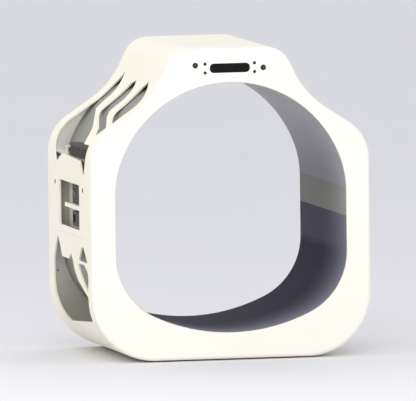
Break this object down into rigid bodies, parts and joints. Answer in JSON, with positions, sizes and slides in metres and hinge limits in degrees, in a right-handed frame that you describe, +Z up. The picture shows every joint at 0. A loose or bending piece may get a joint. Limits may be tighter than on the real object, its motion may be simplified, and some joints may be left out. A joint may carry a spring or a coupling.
{
  "type": "magnetic resonance scanner gantry",
  "caption": "Ring-shaped scanner gantry with a wide keyhole patient bore, open sculpted side panel, positioning light and push buttons above the bore.",
  "frame": {"origin": "on the floor under the middle of the gantry", "axes": "+Z up, -Y out of the front of the bore, +X to the right seen from the front"},
  "size_m": [0.846, 0.6, 0.924],
  "materials": {
    "component_plastic": "moulded packages",
    "standoff_brass": "turned brass",
    "tray_metal": "folded sheet",
    "lower_lining": "satin dark grey",
    "upper_lining": "satin grey",
    "strip_lining": "satin warm grey",
    "plate_metal": "grey paint",
    "board_laminate": "solder mask",
    "data_plastic": "moulded plastic",
    "foot_rubber": "moulded rubber",
    "front_cover_plastic": "satin ivory moulding",
    "cover_screw_steel": "blackened steel",
    "frame_metal": "milled plate",
    "gradient_resin": "potted resin",
    "clip_plastic": "natural nylon",
    "button_plastic": "polished plastic",
    "button_housing_plastic": "moulded plastic",
    "fan_plastic": "moulded plastic",
    "rotor_plastic": "moulded plastic",
    "shell_plastic": "satin ivory moulding",
    "rail_metal": "extruded bar",
    "module_plastic": "moulded plastic",
    "small_screw_steel": "blackened steel",
    "light_lens": "dark polished lens",
    "drum_metal": "grey paint",
    "magnet_metal": "nickel-coated blocks",
    "inlet_plastic": "moulded plastic",
    "rocker_plastic": "polished plastic",
    "supply_case": "black pressed case",
    "amplifier_case": "black finned heat sink",
    "coil_copper": "etched copper sheet",
    "coil_resin": "glass-filled resin",
    "rear_cover_plastic": "satin ivory moulding",
    "terminal_plastic": "moulded plastic"
  },
  "bodies": {
    "gantry": {"board_components": "component_plastic", "board_standoffs": "standoff_brass", "board_tray": "tray_metal", "bore_liner_lower": "lower_lining", "bore_liner_upper": "upper_lining", "bore_strip_left": "strip_lining", "bore_strip_right": "strip_lining", "connector_plate": "plate_metal", "control_board": "board_laminate", "data_connector": "data_plastic", "foot_front_left": "foot_rubber", "foot_front_right": "foot_rubber", "foot_rear_left": "foot_rubber", "foot_rear_right": "foot_rubber", "front_cover": "front_cover_plastic", "front_cover_screws": "cover_screw_steel", "front_frame": "frame_metal", "gradient_coil": "gradient_resin", "harness_clip": "clip_plastic", "left_button_housing": "button_housing_plastic", "left_fan_frame": "fan_plastic", "left_lower_panel": "shell_plastic", "left_rail": "rail_metal", "left_upper_panel": "shell_plastic", "light_module": "module_plastic", "light_screws": "small_screw_steel", "light_window": "light_lens", "magnet_drum": "drum_metal", "magnet_segment_01": "magnet_metal", "magnet_segment_02": "magnet_metal", "magnet_segment_03": "magnet_metal", "magnet_segment_04": "magnet_metal", "magnet_segment_05": "magnet_metal", "magnet_segment_06": "magnet_metal", "magnet_segment_07": "magnet_metal", "magnet_segment_08": "magnet_metal", "magnet_segment_09": "magnet_metal", "magnet_segment_10": "magnet_metal", "power_inlet": "inlet_plastic", "power_supply": "supply_case", "radio_amplifier": "amplifier_case", "radio_coil_conductors": "coil_copper", "radio_coil_former": "coil_resin", "rear_cover": "rear_cover_plastic", "rear_cover_screws": "cover_screw_steel", "rear_frame": "frame_metal", "right_button_housing": "button_housing_plastic", "right_fan_frame": "fan_plastic", "right_lower_panel": "shell_plastic", "right_rail": "rail_metal", "right_upper_panel": "shell_plastic", "side_screws": "cover_screw_steel", "terminal_block": "terminal_plastic"},
    "left_button": {"left_button": "button_plastic"},
    "right_button": {"right_button": "button_plastic"},
    "power_rocker": {"power_rocker": "rocker_plastic"},
    "left_fan_rotor": {"left_fan_rotor": "rotor_plastic"},
    "right_fan_rotor": {"right_fan_rotor": "rotor_plastic"}
  },
  "joints": [
    {"name": "left_button_press", "type": "slide", "parent": "gantry", "child": "left_button", "axis": [0, 1, 0], "range_m": [0, 0.003], "stiffness_N_per_m": 300, "springref_m": -0.003},
    {"name": "right_button_press", "type": "slide", "parent": "gantry", "child": "right_button", "axis": [0, 1, 0], "range_m": [0, 0.003], "stiffness_N_per_m": 300, "springref_m": -0.003},
    {"name": "power_rocker_tilt", "type": "hinge", "parent": "gantry", "child": "power_rocker", "pos_m": [-0.4077, -0.018, 0.4845], "axis": [0, 1, 0], "range_deg": [0, 16]},
    {"name": "left_fan_spin", "type": "hinge", "parent": "gantry", "child": "left_fan_rotor", "pos_m": [-0.046, 0.255, 0.892], "axis": [0, 1, 0], "continuous": true},
    {"name": "right_fan_spin", "type": "hinge", "parent": "gantry", "child": "right_fan_rotor", "pos_m": [0.046, 0.255, 0.892], "axis": [0, 1, 0], "continuous": true}
  ]
}
